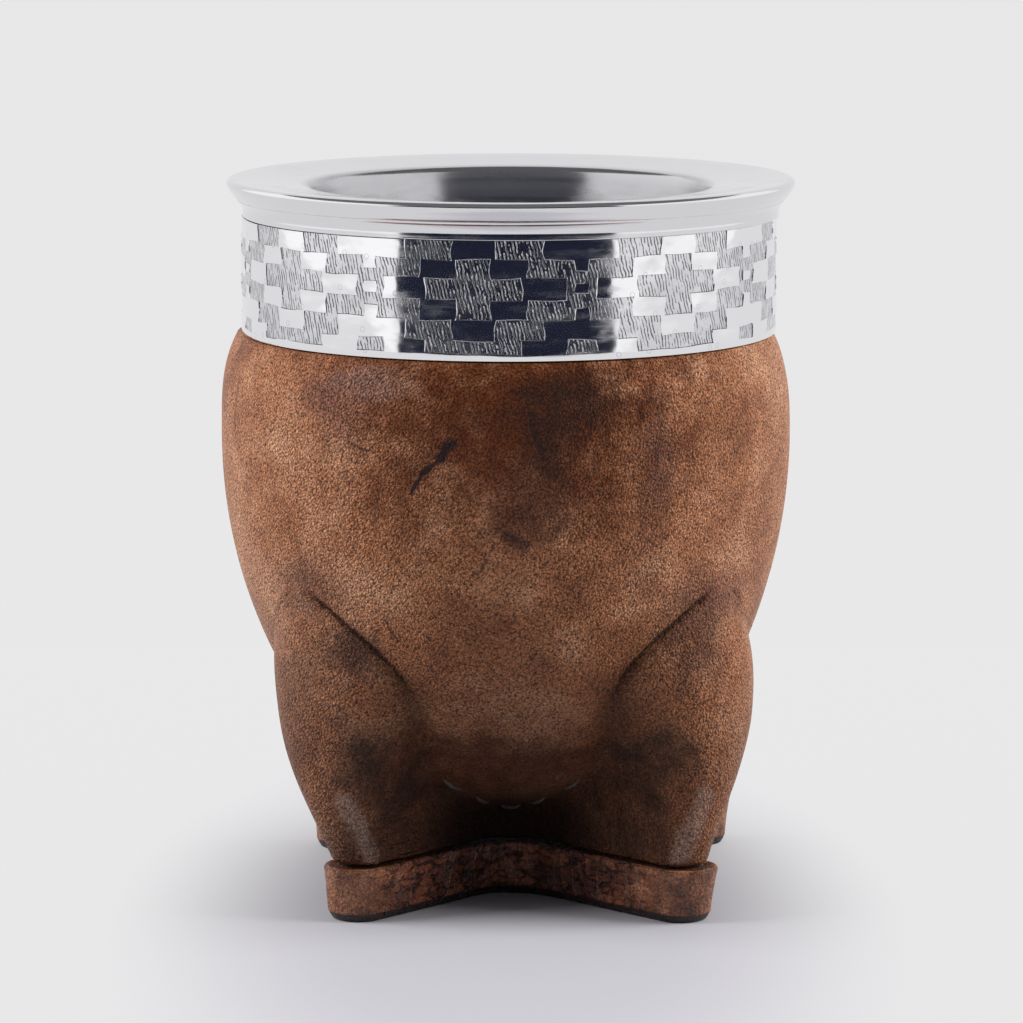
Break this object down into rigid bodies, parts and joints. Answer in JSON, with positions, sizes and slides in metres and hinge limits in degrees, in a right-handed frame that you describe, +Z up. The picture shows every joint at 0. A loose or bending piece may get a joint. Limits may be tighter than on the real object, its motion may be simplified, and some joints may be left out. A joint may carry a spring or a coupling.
{
  "type": "leather-covered mate gourd cup",
  "caption": "Empty round mate gourd cup sewn into moulded brown leather with legs on a cross-shaped leather sole, with a wide polished metal collar and an engraved stepped-diamond band.",
  "frame": {"origin": "on the surface the cup stands on, under the middle of its bounding box", "axes": "+Z up through the mouth, -Y towards the front of the picture, +X to the right of the picture"},
  "size_m": [0.086, 0.0854, 0.1074],
  "materials": {
    "collar_metal": "mirror polished, spun",
    "band_metal": "polished figures on a hand-cut hatched ground",
    "gourd_shell": "matt, cured dry shell",
    "cover_leather": "waxed satin, fine pebble grain, mottled brown",
    "sole_leather": "waxed, cut edges showing fibre",
    "thread": "waxed thread"
  },
  "bodies": {
    "root": {"collar": "collar_metal", "engraved_band": "band_metal", "gourd": "gourd_shell", "leather_cover": "cover_leather", "sole": "sole_leather", "seam_thread_front": "thread", "seam_thread_right": "thread", "seam_thread_back": "thread", "seam_thread_left": "thread"}
  },
  "joints": []
}
